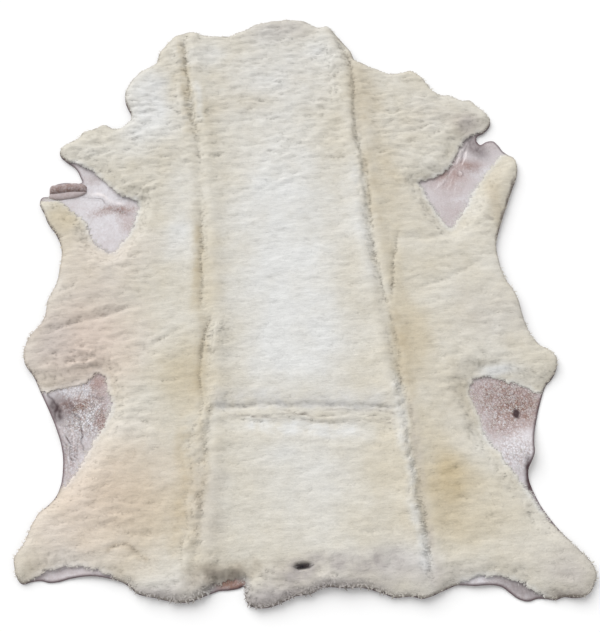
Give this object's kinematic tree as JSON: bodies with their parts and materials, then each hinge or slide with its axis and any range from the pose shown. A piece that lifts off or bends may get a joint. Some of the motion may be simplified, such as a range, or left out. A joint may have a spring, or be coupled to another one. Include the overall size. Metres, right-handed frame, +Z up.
{
  "type": "sheepskin",
  "caption": "Flat short-clipped sheepskin rug with cream wool, long fold ridges and bare leather at the leg pits.",
  "frame": {"origin": "on the floor, under the middle of the pelt's box", "axes": "+Z up through the wool, +Y along the spine to the neck, +X to the right seen from above with the neck at the top"},
  "size_m": [0.86, 1.1094, 0.0206],
  "materials": {
    "wool": "short clipped cream wool"
  },
  "bodies": {
    "root": {"sheepskin": "wool"}
  },
  "joints": []
}
